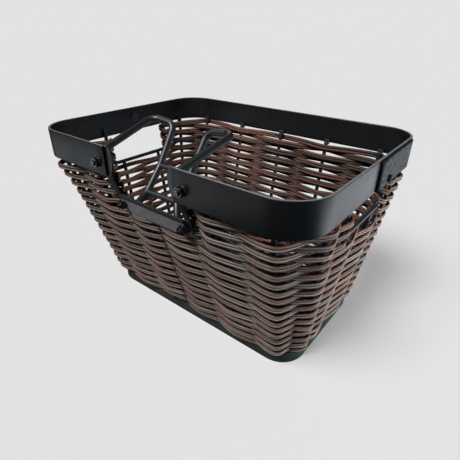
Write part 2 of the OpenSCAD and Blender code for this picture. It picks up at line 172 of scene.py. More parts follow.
# ---------------------------------------------------------------- mesh helpers
class Shape:
    """Vertices, faces and one vector per vertex, gathered for one mesh."""

    def __init__(self):
        self.points, self.faces, self.marks = [], [], []

    def ring(self, points, marks=None):
        """Add a closed ring of points, given in mm, and return its indices."""
        first = len(self.points)
        self.points += [tuple(p * MM) for p in points]
        self.marks += marks or [(0.0, 0.0, 0.0)] * len(points)
        return list(range(first, first + len(points)))

    def bridge(self, a, b):
        n = len(a)
        for k in range(n):
            m = (k + 1) % n
            self.faces.append((a[k], a[m], b[m], b[k]))

    def cap(self, ring, flip=False):
        self.faces.append(tuple(reversed(ring)) if flip else tuple(ring))

    def piece(self, name, material):
        """Make the mesh object; its quads are smooth and its end caps flat."""
        mesh = bpy.data.meshes.new(name)
        mesh.from_pydata(self.points, [], self.faces)
        mesh.update()
        marks = mesh.attributes.new("strand", "FLOAT_VECTOR", "POINT")
        marks.data.foreach_set("vector", [c for m in self.marks for c in m])
        mesh.polygons.foreach_set("use_smooth", [len(p.vertices) == 4 for p in mesh.polygons])
        mesh.materials.append(material)
        piece = bpy.data.objects.new(name, mesh)
        bpy.context.scene.collection.objects.link(piece)
        return piece


def put(piece, slot, *replaced):
    """A new piece rides the basket's one body and stands for its CAD nodes."""
    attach(piece, "root")
    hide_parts(*replaced)
    return piece


def headings(line):
    """The direction in which the line runs at each of its points."""
    last = len(line) - 1
    return [(line[min(i + 1, last)] - line[max(i - 1, 0)]).normalized() for i in range(last + 1)]


def round_bends(path, radius, step=6.0):
    """The path with its inner corners replaced by arcs, as in the CAD frame."""
    line = [path[0]]
    for a, b, c in zip(path, path[1:], path[2:]):
        u, w = (a - b).normalized(), (c - b).normalized()
        turn = math.pi - u.angle(w)
        centre = b + (u + w).normalized() * radius / math.cos(turn / 2)
        x = (b + u * radius * math.tan(turn / 2) - centre).normalized()
        steps = math.ceil(math.degrees(turn) / step)
        line += [centre + radius * (math.cos(turn * k / steps) * x - math.sin(turn * k / steps) * u)
                 for k in range(steps + 1)]
    return line + [path[-1]]


def add_rod(shape, line, radii, sides=20):
    """A tube along the line; radii is one radius or one per point. Its frame turns as little as it can."""
    if not isinstance(radii, (list, tuple)):
        radii = [radii] * len(line)
    along = headings(line)
    across = along[0].cross(Vector((1, 2, 3))).normalized()
    rings = []
    for p, h, r in zip(line, along, radii):
        across = (across - h * across.dot(h)).normalized()
        other = h.cross(across)
        rings.append(shape.ring([p + r * (math.cos(a) * across + math.sin(a) * other)
                                 for a in (2 * math.pi * k / sides for k in range(sides))]))
    for a, b in zip(rings, rings[1:]):
        shape.bridge(a, b)
    shape.cap(rings[0], flip=True)
    shape.cap(rings[-1])


def soft_ends(line, radius, bevel):
    """The line and radii of a rod whose two ends are rounded over by bevel."""
    a, b = (line[1] - line[0]).normalized(), (line[-2] - line[-1]).normalized()
    steps = [(bevel * (1 - math.cos(q)), radius - bevel * (1 - math.sin(q)))
             for q in (math.radians(g) for g in (0, 30, 60, 90))]
    start = [(line[0] + a * d, r) for d, r in steps]
    end = [(line[-1] + b * d, r) for d, r in reversed(steps)]
    both = start + [(p, radius) for p in line[1:-1]] + end
    return [p for p, _ in both], [r for _, r in both]


# ---------------------------------------------------------------- materials
def node_material(name):
    """A new material, its node tree and its shader."""
    material = bpy.data.materials.new(name)
    material.use_nodes = True
    tree = material.node_tree
    shader = tree.nodes["Principled BSDF"]
    return material, tree, shader


def feed(tree, socket, value):
    """Give a node's input a value, or a link from another node's output."""
    if isinstance(value, bpy.types.NodeSocket):
        tree.links.new(value, socket)
    else:
        socket.default_value = value


def add(tree, kind, inputs=None, **settings):
    """A new node with its inputs and settings."""
    node = tree.nodes.new(kind)
    for key, value in settings.items():
        setattr(node, key, value)
    for key, value in (inputs or {}).items():
        feed(tree, node.inputs[key], value)
    return node


def math_node(tree, operation, a, b=0.0, c=0.0):
    return add(tree, "ShaderNodeMath", {0: a, 1: b, 2: c}, operation=operation).outputs[0]


def noise_node(tree, vector, scale, detail=2.0, roughness=0.5):
    inputs = {"Vector": vector, "Scale": scale, "Detail": detail, "Roughness": roughness}
    return add(tree, "ShaderNodeTexNoise", inputs).outputs["Fac"]


MIX_FACTOR, MIX_A, MIX_B, MIX_RESULT = 0, 6, 7, 2


def mix_color(tree, factor, a, b):
    """Colour a where factor is 0 and b where it is 1; each is a colour or a socket."""
    node = add(tree, "ShaderNodeMix", data_type="RGBA", blend_type="MIX", clamp_factor=True)
    feed(tree, node.inputs[MIX_FACTOR], factor)
    for key, color in ((MIX_A, a), (MIX_B, b)):
        feed(tree, node.inputs[key], (*color, 1.0) if isinstance(color, tuple) else color)
    return node.outputs[MIX_RESULT]


def ramp(tree, value, low, high):
    """0 at low and beyond, 1 at high and beyond, and smooth between."""
    inputs = {"Value": value, "From Min": low, "From Max": high}
    node = add(tree, "ShaderNodeMapRange", inputs, clamp=True, interpolation_type="SMOOTHSTEP")
    return node.outputs["Result"]


STRIP_DARK = (0.012, 0.013, 0.014)
# ranges that a ramp takes from 0 to 1: an edge's bend, patches along it, and faces that look up, which
# take a painted highlight
EDGE_RANGE, EDGE_PATCH_RANGE, UPWARD_RANGE = (0.995, 0.86), (0.3, 0.6), (0.5, 0.95)
EDGE_PATCH_SCALE, SMUDGE_SCALE, SMUDGE = 140.0, 22.0, 0.16


def painted_metal(name, dark, light, rough, grain=900.0, bump=0.05, edge_wear_and_light=0.35, specular=0.5, edge=0.8 * MM,
                  edge_color=(0.16, 0.165, 0.17), painted_top_highlight=0.0, depth=0.2 * MM,
                  dark_strips=(), mottle_scale=38.0, mottle_reach=0.25):
    """Coated metal: fine orange peel, faint mottling, smudges in the gloss, and edges in edge_color: wear
    on the rods, screw and board, a painted highlight on the band and bolts, painted shade on the joint
    cover, dark on the plate; faces that look up can take a painted highlight.
    """
    material, tree, shader = node_material(name)
    place = add(tree, "ShaderNodeTexCoord").outputs["Object"]
    mottle = noise_node(tree, place, mottle_scale, 4.0, 0.6)
    mottle = ramp(tree, mottle, 0.5 - mottle_reach, 0.5 + mottle_reach)
    fine = noise_node(tree, place, grain, 2.0, 0.6)
    rounded = add(tree, "ShaderNodeBevel", {"Radius": edge}, samples=4).outputs["Normal"]
    flat = add(tree, "ShaderNodeNewGeometry").outputs["Normal"]
    spread = add(tree, "ShaderNodeVectorMath", {0: rounded, 1: flat}, operation="DOT_PRODUCT")
    # edges take edge_color: wear on some finishes, painted highlight on the band and bolts, painted shade
    # on the joint cover
    on_edge = ramp(tree, spread.outputs["Value"], *EDGE_RANGE)
    edge_patches = ramp(tree, noise_node(tree, place, EDGE_PATCH_SCALE), *EDGE_PATCH_RANGE)
    wear_and_painted_light = math_node(tree, "MULTIPLY", math_node(tree, "MULTIPLY", on_edge, edge_patches), edge_wear_and_light)
    facing_up = ramp(tree, add(tree, "ShaderNodeSeparateXYZ", {0: flat}).outputs["Z"], *UPWARD_RANGE)
    # painted highlight on faces that look up
    wear_and_painted_light = math_node(tree, "MAXIMUM", wear_and_painted_light, math_node(tree, "MULTIPLY", facing_up, painted_top_highlight))
    base = mix_color(tree, mottle, dark, light)
    color = mix_color(tree, wear_and_painted_light, base, edge_color)
    # dark strips: painted shade along the joint cover's edges, and the plate's dark top lip
    for axis, clear, dark_from in dark_strips:
        along_axis = add(tree, "ShaderNodeSeparateXYZ", {0: place}).outputs[axis]
        color = mix_color(tree, ramp(tree, along_axis, clear * MM, dark_from * MM), color, STRIP_DARK)
    tree.links.new(color, shader.inputs["Base Color"])
    smudge = noise_node(tree, place, SMUDGE_SCALE, 5.0, 0.7)
    gloss = math_node(tree, "MULTIPLY_ADD", smudge, SMUDGE, rough - SMUDGE / 2)
    tree.links.new(gloss, shader.inputs["Roughness"])
    shader.inputs["Specular IOR Level"].default_value = specular
    peel = {"Strength": bump, "Distance": depth, "Height": fine, "Normal": rounded}
    tree.links.new(add(tree, "ShaderNodeBump", peel).outputs["Normal"], shader.inputs["Normal"])
    return material


# the cane: ribs moulded along it, how much painted shade lies in their grooves, and how far it twists, in
# radians
RIBS, GROOVE_SHADE, TWIST_SPAN = 5, 0.6, 5.0
# which way a strand's brown side and its inward side, which gets painted shade, face, as an angle from
# outward towards up
BROWN_LOWER, BROWN_UPPER, INSIDE_ANGLE = math.radians(140), math.radians(60), math.radians(150)
# each colour's dark lines and pale lines
STRAND_GREY = (0.03, 0.027, 0.025), (0.43, 0.402, 0.368)
STRAND_BROWN = (0.045, 0.018, 0.012), (0.45, 0.222, 0.158)
# painted shade on the side that faces into the basket, its dark lines and pale lines
STRAND_INSIDE_SHADE = (0.03, 0.018, 0.014), (0.155, 0.058, 0.034)
# near-black painted shade for grooves and recesses, and pale scuffs
STRAND_SHADE, STRAND_SCUFF = (0.006, 0.004, 0.0035), (0.34, 0.30, 0.27)
# noise along the cane: how fast it changes along and round the strand, and a shift of its own
TWIST, STREAKS, PATCHES = (2.6, 0.0, 3.0), (7.0, 3.4, 0.0), (9.0, 0.4, 11.0)
FINE_LINES, INSIDE_SHADE_PATCHES = (5.0, 8.5, 5.0), (4.0, 0.3, 21.0)
OTHER_STRAND_SHIFT = 7.7
# how far streaks and patches shift the line between brown and grey
STREAK_SHARE, PATCH_SHARE = 1.6, 2.2
# ranges that a ramp takes from 0 to 1
BROWN_RANGE, LINE_RANGE, GROOVE_RANGE = (0.25, 0.75), (0.4, 0.62), (-0.35, -0.85)
INWARD_RANGE, INSIDE_SHADE_RANGE, SCUFF_RANGE = (-0.1, 0.5), (0.43, 0.58), (0.52, 0.8)
# painted shade in the weave's recesses: how far round a place must be open, and how open it must be, to
# keep its colour
OPEN_REACH, OPEN_RANGE = 12 * MM, (0.57, 0.86)
INWARD_SHADE_SHARE, SCUFF_SHARE = 0.85, 0.3
CANE_ROUGH, INWARD_ROUGHER, STREAK_ROUGHER, CANE_SPECULAR = 0.3, 0.35, 0.25, 0.34


def strand_material(name):
    """Streaked plastic cane, brown round one side and grey round the other, twisting slowly along, with
    painted shade in its grooves, on its side facing into the basket and in the weave's recesses.
    """
    material, tree, shader = node_material(name)
    mark = add(tree, "ShaderNodeAttribute", attribute_name="strand").outputs["Vector"]
    length, angle, strand = add(tree, "ShaderNodeSeparateXYZ", {0: mark}).outputs

    def along(scale, round_scale, shift):
        """A noise that changes scale times a metre along the strand, and round it by round_scale."""
        turn = math_node(tree, "MULTIPLY", angle, 2 * math.pi)
        place = add(tree, "ShaderNodeCombineXYZ", {
            0: math_node(tree, "MULTIPLY_ADD", strand, OTHER_STRAND_SHIFT,
                         math_node(tree, "MULTIPLY", length, scale)),
            1: math_node(tree, "MULTIPLY_ADD", math_node(tree, "COSINE", turn), round_scale, shift),
            2: math_node(tree, "MULTIPLY", math_node(tree, "SINE", turn), round_scale)})
        return noise_node(tree, place.outputs[0], 1.0, 4.0, 0.6)

    twist = math_node(tree, "MULTIPLY", math_node(tree, "SUBTRACT", along(*TWIST), 0.5), TWIST_SPAN)
    facing = math_node(tree, "MULTIPLY_ADD", angle, 2 * math.pi, twist)
    lean = math_node(tree, "MULTIPLY_ADD", strand, BROWN_UPPER - BROWN_LOWER, BROWN_LOWER)
    side = math_node(tree, "COSINE", math_node(tree, "SUBTRACT", facing, lean))
    streak = along(*STREAKS)
    patch = along(*PATCHES)
    tone = math_node(tree, "MULTIPLY_ADD", math_node(tree, "SUBTRACT", streak, 0.5), STREAK_SHARE, side)
    tone = math_node(tree, "MULTIPLY_ADD", math_node(tree, "SUBTRACT", patch, 0.5), PATCH_SHARE, tone)
    lines = ramp(tree, along(*FINE_LINES), *LINE_RANGE)
    grey = mix_color(tree, lines, *STRAND_GREY)
    brown = mix_color(tree, lines, *STRAND_BROWN)
    color = mix_color(tree, ramp(tree, tone, *BROWN_RANGE), grey, brown)
    rib = math_node(tree, "SINE", math_node(tree, "MULTIPLY_ADD", angle, 2 * math.pi * RIBS, twist))
    # painted shade in the ribs' grooves
    groove_shade = math_node(tree, "MULTIPLY", ramp(tree, rib, *GROOVE_RANGE), GROOVE_SHADE)
    color = mix_color(tree, groove_shade, color, STRAND_SHADE)
    # painted shade, in patches, on the side of each strand that faces into the basket
    inward = math_node(tree, "COSINE", math_node(tree, "MULTIPLY_ADD", angle, 2 * math.pi, -INSIDE_ANGLE))
    inward = ramp(tree, inward, *INWARD_RANGE)
    inside_shade = mix_color(tree, ramp(tree, along(*INSIDE_SHADE_PATCHES), *INSIDE_SHADE_RANGE), *STRAND_INSIDE_SHADE)
    color = mix_color(tree, math_node(tree, "MULTIPLY", inward, INWARD_SHADE_SHARE), color, inside_shade)
    place = add(tree, "ShaderNodeTexCoord").outputs["Object"]
    scuff = ramp(tree, noise_node(tree, place, 260.0, 4.0, 0.7), *SCUFF_RANGE)
    color = mix_color(tree, math_node(tree, "MULTIPLY", scuff, SCUFF_SHARE), color, STRAND_SCUFF)
    # painted shade where the weave closes in round a place
    openness = add(tree, "ShaderNodeAmbientOcclusion", {"Distance": OPEN_REACH}, samples=6).outputs["AO"]
    color = mix_color(tree, ramp(tree, openness, *OPEN_RANGE), STRAND_SHADE, color)
    tree.links.new(color, shader.inputs["Base Color"])
    gloss = math_node(tree, "MULTIPLY_ADD", inward, INWARD_ROUGHER, CANE_ROUGH)
    gloss = math_node(tree, "MULTIPLY_ADD", streak, STREAK_ROUGHER, gloss)
    tree.links.new(gloss, shader.inputs["Roughness"])
    shader.inputs["Specular IOR Level"].default_value = CANE_SPECULAR
    fleck = noise_node(tree, place, 700.0, 3.0, 0.7)
    height = math_node(tree, "MULTIPLY_ADD", rib, 0.4, fleck)
    relief = add(tree, "ShaderNodeBump", {"Strength": 0.25, "Distance": 0.25 * MM, "Height": height})
    tree.links.new(relief.outputs["Normal"], shader.inputs["Normal"])
    return material


# the band's edges and the faces that look up get a painted highlight in pale grey
band_metal = painted_metal("band_coat", (0.003, 0.0038, 0.0047), (0.0055, 0.0068, 0.0083), 0.4,
                           specular=0.38, edge_wear_and_light=1.0, edge_color=(0.2, 0.207, 0.215), painted_top_highlight=0.8)
rod_metal = painted_metal("rod_coat", (0.006, 0.007, 0.009), (0.012, 0.0135, 0.016), 0.43,
                          specular=0.75, bump=0.1)
# pale painted glints on the edges of the bolts, nuts and washers
bolt_metal = painted_metal("bolt_black", (0.005, 0.005, 0.007), (0.012, 0.012, 0.014), 0.2,
                           specular=0.8, edge_wear_and_light=1.0, edge=0.5 * MM, edge_color=(0.3, 0.3, 0.31))
screw_metal = painted_metal("screw_black", (0.006, 0.006, 0.008), (0.016, 0.016, 0.018), 0.35,
                            specular=0.12, edge=0.4 * MM)
# dark strips in mm: the axis they lie across, where they begin to darken and where they are dark
PLATE_LIP = (("Z", 187.8, 189.0),)
# painted shade along the joint cover's left end and its top edge
COVER_EDGE_SHADE = ("Y", 9.0, 4.5), ("Z", 251.3, 252.4)
plate_metal = painted_metal("plate_coat", (0.14, 0.146, 0.146), (0.225, 0.234, 0.233), 0.55, bump=0.3,
                            edge_color=STRIP_DARK, edge_wear_and_light=0.8, dark_strips=PLATE_LIP, mottle_scale=90.0)
board_material = painted_metal("board_grain", (0.022, 0.026, 0.025), (0.04, 0.046, 0.044), 0.62,
                               grain=1500.0, bump=0.35, edge=1.5 * MM, edge_wear_and_light=0.2)
# the joint cover's rounded edges get painted shade
cover_metal = painted_metal("joint_cover", (0.018, 0.018, 0.0185), (0.103, 0.101, 0.105), 0.55,
                            grain=330.0, bump=1.0, specular=0.2, edge=2.2 * MM, depth=0.7 * MM,
                            edge_color=STRIP_DARK, edge_wear_and_light=1.0, dark_strips=COVER_EDGE_SHADE,
                            mottle_scale=330.0, mottle_reach=0.24)
cane = strand_material("cane_strand")

# ---------------------------------------------------------------- the weave, in mm
# the first course's lower edge, the rise in one turn, and a course's middle above its lower edge
FIRST_Z, PITCH, COURSE_MIDDLE = 14.3, 6.5, 3.1
# the spiral starts flat and ends flat, and the full courses stop below the hand-holds' bars
LOWEST_Z, HIGHEST_FULL_Z = 17.7, 168.3
FULL_COURSES, COURSES = 24, 31
# how far from the stakes' line the strands pass a stake, at the floor and at the rim
SWING_LOW, SWING_TOP = 6.0, 7.0
# how far a strand keeps its heading past a stake, against the distance to the next one
STIFFNESS = 0.75
# the back wall is woven tighter, and its last courses rise to the band
BACK_POSTS, SWING_BACK = range(7, 12), 5.0
BACK_RISE, RISE_FROM_TURN, RISE_TURNS = 2.2, 28.5, 2
BACK_THICKER = 0.2
# posts from the back wall's middle to where the weave is as on the other walls, and those it changes over
BACK_REACH, BACK_FADE = 4, 2
RECESS_POSTS = 0, POSTS - 1
# behind the recess's straps: a course on its way out, and on its way in
RECESS_OFFSETS = -2.0, -6.4
# half the pair's spacing, more of it at the back, its change at a stake, and a course's wander there
PAIR_SPREAD, BACK_SPREAD, SPREAD_CHANGE, WANDER = 1.6, 0.15, 0.3, 3.0
# how far a strand bows in or out of its course, and how far its pair stands apart that way
BOW, BOW_APART = 0.45, 0.15
# how fast these change from post to post
SPREAD_RATE, WANDER_RATE, BOW_RATE = 0.9, 0.43, 0.6
# the last courses sit loosely round the front left corner
LOOSE_POST, LOOSE_BULGE, LOOSE_FROM_Z, LOOSE_TO_Z = 16, 5.0, 170.0, 210.0
# a strand's half width and half height, and the sides and lengths that its mesh is made of
STRAND_WIDE, STRAND_TALL = 1.75, 1.85
SIDES, PER_SPAN = 12, 10
# a strand's length from stake to stake in metres, which places the streaks along it
SPAN_LENGTH = 0.058
TIP_SIZE = 0.55
# at a stretch's end a strand turns back: the pair's spacing there, how deep the turn is, and its steps
TURN_SPREAD, TURN_DEPTH, TURN_STEPS = 1.8, 0.9, 5
# above the hand-holds' bars: from the recess to a hand-hold, round the back, and back to the recess
STRETCHES = (0, 4), (5, 13), (14, 18)


def course_z(turns):
    """Height of the weave's middle line after this many turns."""
    return max(FIRST_Z + COURSE_MIDDLE + PITCH * (turns - 0.5), LOWEST_Z)


def pass_offset(k, z, full):
    """How far outside post k, counted all along the spiral, the strands pass it."""
    outside = k % 2 == 1
    if not full and k % POSTS in RECESS_POSTS:
        return RECESS_OFFSETS[0 if outside else 1]
    swing = SWING_BACK if k % POSTS in BACK_POSTS else taper(SWING_LOW, SWING_TOP, z)
    return swing if outside else -swing


def smooth_step(x):
    """0 below 0, 1 above 1, and smooth between."""
    x = min(max(x, 0.0), 1.0)
    return x * x * (3 - 2 * x)


def pass_point(k, z, full):
    """Where the strands pass post k, in the plane."""
    x, y, nx, ny = outline(post_run(k % POSTS, z, full), z)
    out = pass_offset(k, z, full)
    if k % POSTS == LOOSE_POST and out > 0:
        out += LOOSE_BULGE * smooth_step((z - LOOSE_FROM_Z) / (LOOSE_TO_Z - LOOSE_FROM_Z))
    return Vector((x + out * nx, y + out * ny, 0))


def pass_heading(k, z, full, ends):
    """Heading at post k; at a stretch's two ends it runs along the wall."""
    if k in ends:
        _, _, nx, ny = outline(post_run(k % POSTS, z, full), z)
        return Vector((-ny, nx, 0))
    return (pass_point(k + 1, z, full) - pass_point(k - 1, z, full)).normalized()


def weave_point(t_all, z, full, ends=()):
    """Point and heading on the springy line that the strands take past the posts."""
    k = math.floor(t_all - 0.5)
    if ends:
        k = min(max(k, ends[0]), ends[1] - 1)
    u = t_all - 0.5 - k
    a, b = pass_point(k, z, full), pass_point(k + 1, z, full)
    reach = (b - a).length
    pull = reach * STIFFNESS
    ta, tb = pass_heading(k, z, full, ends) * pull, pass_heading(k + 1, z, full, ends) * pull
    point = a * (2 * u**3 - 3 * u**2 + 1) + b * (3 * u**2 - 2 * u**3) \
        + ta * (u**3 - 2 * u**2 + u) + tb * (u**3 - u**2)
    slope = (b - a) * (6 * u - 6 * u**2) + ta * (3 * u**2 - 4 * u + 1) + tb * (3 * u**2 - 2 * u)
    return point, slope.normalized()


def back_share(t_all):
    """1 in the middle of the back wall, 0 on the other walls."""
    return smooth_step((BACK_REACH - abs(t_all % POSTS - POSTS / 2)) / BACK_FADE)


def lift_of(t_all, strand):
    """Height of a strand above its course's middle: the pair spreads and wanders at the posts."""
    at_post = math.sin(math.pi * t_all) ** 2
    at_back = back_share(t_all)
    change = SPREAD_CHANGE * at_post * noise.noise(Vector((t_all * SPREAD_RATE, 3.1, strand * 9.0)))
    spread = PAIR_SPREAD * (1 + BACK_SPREAD * at_back) + change
    wander = WANDER * at_post * noise.noise(Vector((t_all * WANDER_RATE, 5.3, 1.7)))
    rise = smooth_step((t_all / POSTS - RISE_FROM_TURN) / RISE_TURNS) * at_back
    return (1 if strand else -1) * spread + wander + BACK_RISE * rise


def strand_centre(t_all, strand, full, limit=None, ends=()):
    """Centre point of one of a course's two strands at weave position t_all, in mm."""
    z = course_z(t_all / POSTS)
    if limit is not None:
        z = min(z, limit)
    point, heading = weave_point(t_all, z, full, ends)
    bow = BOW * noise.noise(Vector((t_all * BOW_RATE, strand * 3.3, 8.2)))
    bow += BOW_APART if strand else -BOW_APART
    across = Vector((heading.y, -heading.x, 0))
    return point + bow * across + Vector((0, 0, z + lift_of(t_all, strand)))


def add_strand(shape, line, sizes, strand, length0, tip_start=False, tip_end=False):
    """A slightly flattened strand along the line, its mark holding length, angle and strand number."""
    along = headings(line)
    rings, length = [], length0
    for i, (p, h) in enumerate(zip(line, along)):
        if i:
            length += (p - line[i - 1]).length * MM
        side = h.cross(Vector((0, 0, 1))).normalized()
        up = side.cross(h)
        cut_end = (tip_start and i == 0) or (tip_end and i == len(line) - 1)
        size = TIP_SIZE if cut_end else sizes[i]
        points, marks = [], []
        for k in range(SIDES):
            a = 2 * math.pi * k / SIDES
            points.append(p + size * (STRAND_WIDE * math.cos(a) * side + STRAND_TALL * math.sin(a) * up))
            marks.append((length, k / SIDES, float(strand)))
        rings.append(shape.ring(points, marks))
    for a, b in zip(rings, rings[1:]):
        shape.bridge(b, a)
    shape.cap(rings[0])
    shape.cap(rings[-1], flip=True)


def sizes_at(stops):
    """How thick a strand is at each stop, against its usual size."""
    return [1 + BACK_THICKER * back_share(t) for t in stops]


def full_course(i):
    """A course that goes once round the basket, as two strands."""
    shape = Shape()
    t0 = POSTS * (i - 1)
    stops = [t0 + n / PER_SPAN for n in range(POSTS * PER_SPAN + 1)]
    sizes = sizes_at(stops)
    for strand in (0, 1):
        line = [strand_centre(t, strand, True, HIGHEST_FULL_Z) for t in stops]
        add_strand(shape, line, sizes, strand, t0 * SPAN_LENGTH)
    return shape


def turn_points(k, strand, away, partner):
    """Half of the turn round post k that ends a stretch, rising or falling towards its partner."""
    t_all = k + 0.5
    z = course_z(t_all / POSTS)
    x, y, nx, ny = outline(post_run(k % POSTS, z, False), z)
    normal, tangent = Vector((nx, ny, 0)), Vector((-ny, nx, 0))
    here, there = pass_offset(k, z, False), pass_offset(k + POSTS, z, False)
    middle, radius = (here + there) / 2, (here - there) / 2
    lift = lift_of(t_all, strand)
    evened = TURN_SPREAD if strand else -TURN_SPREAD
    points = []
    for n in range(1, TURN_STEPS + 1):
        a = math.pi / 2 * n / TURN_STEPS
        blend = 1 - math.cos(a)
        height = z + lift + blend * (evened - lift + partner * PITCH / 2)
        points.append(Vector((x, y, height)) + normal * (middle + radius * math.cos(a))
                      + tangent * away * abs(radius) * TURN_DEPTH * math.sin(a))
    return points


def split_course(i):
    """A course above the hand-holds' bars: three stretches that turn back at the openings."""
    shape = Shape()
    base = POSTS * (i - 1)
    # odd courses join the next one at a stretch's start, even ones at its end
    low_partner, high_partner = (1, -1) if i % 2 else (-1, 1)
    joined_low = not (i == COURSES and low_partner == 1)
    joined_high = not (i == FULL_COURSES + 1 and high_partner == -1)
    for first, last in STRETCHES:
        ends = base + first, base + last
        stops = [ends[0] + 0.5 + n / PER_SPAN for n in range((last - first) * PER_SPAN + 1)]
        for strand in (0, 1):
            line = [strand_centre(t, strand, False, ends=ends) for t in stops]
            before = turn_points(ends[0], strand, -1, low_partner if joined_low else 0)
            after = turn_points(ends[1], strand, 1, high_partner if joined_high else 0)
            sizes = [1.0] * len(before) + sizes_at(stops) + [1.0] * len(after)
            add_strand(shape, before[::-1] + line + after, sizes, strand, ends[0] * SPAN_LENGTH,
                       tip_start=not joined_low, tip_end=not joined_high)
    return shape


for i in range(1, COURSES + 1):
    shape = full_course(i) if i <= FULL_COURSES else split_course(i)
    put(shape.piece(f"woven_course_{i:02d}", cane), "weave", f"weave_course_{i:02d}")

# ---------------------------------------------------------------- the rim band
BAND_STEP, BAND_CORNER_STEPS = 14, 18
BAND_EDGE_R = 1.1
# the sheet's two ends: how far each ring of points is pulled in, and how far it stands from the end
BAND_ENDS = (0.6, 0.0), (0.25, 0.2), (0.0, 0.6)


def band_path():
    """(point, outward normal) along the middle of the sheet, from the gap's right end to its left."""
    half = BAND_THICKNESS / 2
    hx, hy, r = RIM_LENGTH / 2 - half, RIM_WIDTH / 2 - half, RIM_R - half
    path = []

    def straight(a, b, n):
        steps = max(1, round((b - a).length / BAND_STEP))
        path.extend((a + (b - a) * k / steps, n) for k in range(steps))

    def corner(cx, cy, start):
        for k in range(BAND_CORNER_STEPS):
            a = math.radians(start + 90 * k / BAND_CORNER_STEPS)
            n = Vector((math.cos(a), math.sin(a), 0))
            path.append((Vector((cx, cy, 0)) + n * r, n))

    fx, fy = hx - r, hy - r
    straight(Vector((GAP / 2, -hy, 0)), Vector((fx, -hy, 0)), Vector((0, -1, 0)))
    corner(fx, -fy, -90)
    straight(Vector((hx, -fy, 0)), Vector((hx, fy, 0)), Vector((1, 0, 0)))
    corner(fx, fy, 0)
    straight(Vector((fx, hy, 0)), Vector((-fx, hy, 0)), Vector((0, 1, 0)))
    corner(-fx, fy, 90)
    straight(Vector((-hx, fy, 0)), Vector((-hx, -fy, 0)), Vector((-1, 0, 0)))
    corner(-fx, -fy, 180)
    straight(Vector((-fx, -hy, 0)), Vector((-GAP / 2, -hy, 0)), Vector((0, -1, 0)))
    path.append((Vector((-GAP / 2, -hy, 0)), Vector((0, -1, 0))))
    return path


def band_profile(inset):
    """(outward, up) points of the sheet's section, its four edges rounded, pulled in by inset."""
    half, low, high = BAND_THICKNESS / 2 - inset, BAND_LOW + inset, RIM_Z - inset
    r = BAND_EDGE_R - inset * 0.6
    points = []
    for cx, cz, start in ((half - r, low + r, -90), (half - r, high - r, 0),
                          (r - half, high - r, 90), (r - half, low + r, 180)):
        for k in range(5):
            a = math.radians(start + 90 * k / 4)
            points.append((cx + r * math.cos(a), cz + r * math.sin(a)))
    return points


def rim_band():
    """The band's sheet, with its edges and its two ends rounded."""
    shape = Shape()
    path = band_path()
    rings = []

    def ring_at(point, normal, inset):
        rings.append(shape.ring([point + normal * u + Vector((0, 0, v)) for u, v in band_profile(inset)]))

    (first, front), (last, _) = path[0], path[-1]
    for inset, back in BAND_ENDS:
        ring_at(first + Vector((back, 0, 0)), front, inset)
    for point, normal in path[1:-1]:
        ring_at(point, normal, 0.0)
    for inset, back in reversed(BAND_ENDS):
        ring_at(last - Vector((back, 0, 0)), front, inset)
    for a, b in zip(rings, rings[1:]):
        shape.bridge(a, b)
    shape.cap(rings[0], flip=True)
    shape.cap(rings[-1])
    return shape


put(rim_band().piece("rim_band_sheet", band_metal), "band", "rim_band")


# ---------------------------------------------------------------- rods of the frame
# a hand-hold's rod: its bar's height, its ends and knees from the band's lower edge, and its bends
HOLD_BAR_Z, HOLD_TOP, HOLD_KNEE, HOLD_BEND_R = 178, 12, -3, 13
BAND_CLEARANCE = 0.1
HOOP_R, HOOP_BEND_R = 4.2, 11
HOOP_FOOT_Z, HOOP_FOOT_IN = 185, 2.9
# the right hoop's corners in mm, from the band over the top and down to the recess's plate
HOOP_CORNERS = ((57.5, -142.8, 250), (63.7, -64, 271), (26.7, -64, 267), (24.5, -93, 224.5),
                (24.5, -116, 198.5), (33, front_y(HOOP_FOOT_Z) + HOOP_FOOT_IN, HOOP_FOOT_Z))
ROD_END_ROUND, HOOP_END_ROUND = 0.6, 1.2


def hand_hold(side):
    """The bent rod that frames one hand-hold."""
    top_x = side * (RIM_LENGTH / 2 - BAND_THICKNESS - STAKE_D / 2 - BAND_CLEARANCE)
    bar_x = side * half_x(HOLD_BAR_Z)
    y0, y1 = HOLD_MIDDLE - HOLD_HALF, HOLD_MIDDLE + HOLD_HALF
    top, knee = BAND_LOW + HOLD_TOP, BAND_LOW + HOLD_KNEE
    path = [(top_x, y0, top), (top_x, y0, knee), (bar_x, y0, HOLD_BAR_Z),
            (bar_x, y1, HOLD_BAR_Z), (top_x, y1, knee), (top_x, y1, top)]
    line = round_bends([Vector(p) for p in path], HOLD_BEND_R)
    shape = Shape()
    add_rod(shape, *soft_ends(line, STAKE_D / 2, ROD_END_ROUND))
    return shape


def hoop(side):
    """The bent hoop on one side of the recess."""
    line = round_bends([Vector((side * x, y, z)) for x, y, z in HOOP_CORNERS], HOOP_BEND_R, 5.0)
    shape = Shape()
    add_rod(shape, *soft_ends(line, HOOP_R, HOOP_END_ROUND), sides=24)
    return shape


for side, word in ((-1, "left"), (1, "right")):
    put(hand_hold(side).piece(f"hand_hold_rod_{word}", rod_metal), "frame_rod", f"{word}_hand_hold_rod")
    put(hoop(side).piece(f"hoop_rod_{word}", rod_metal), "hoop_rod", f"recess_hoop_{word}")

# ---------------------------------------------------------------- CAD nodes that stay
finishes = {"base_board": board_material, "recess_plate": plate_metal,
            "joint_plate": cover_metal, "joint_plate_screw": screw_metal,
            "recess_bolts": bolt_metal, "recess_nuts": bolt_metal, "recess_washers": bolt_metal}
for name, node in frame["nodes"].items():
    if node.hide_render:
        continue
    node.data.materials.clear()
    node.data.materials.append(finishes.get(name, rod_metal))
    node.data.polygons.foreach_set("use_smooth", [True] * len(node.data.polygons))

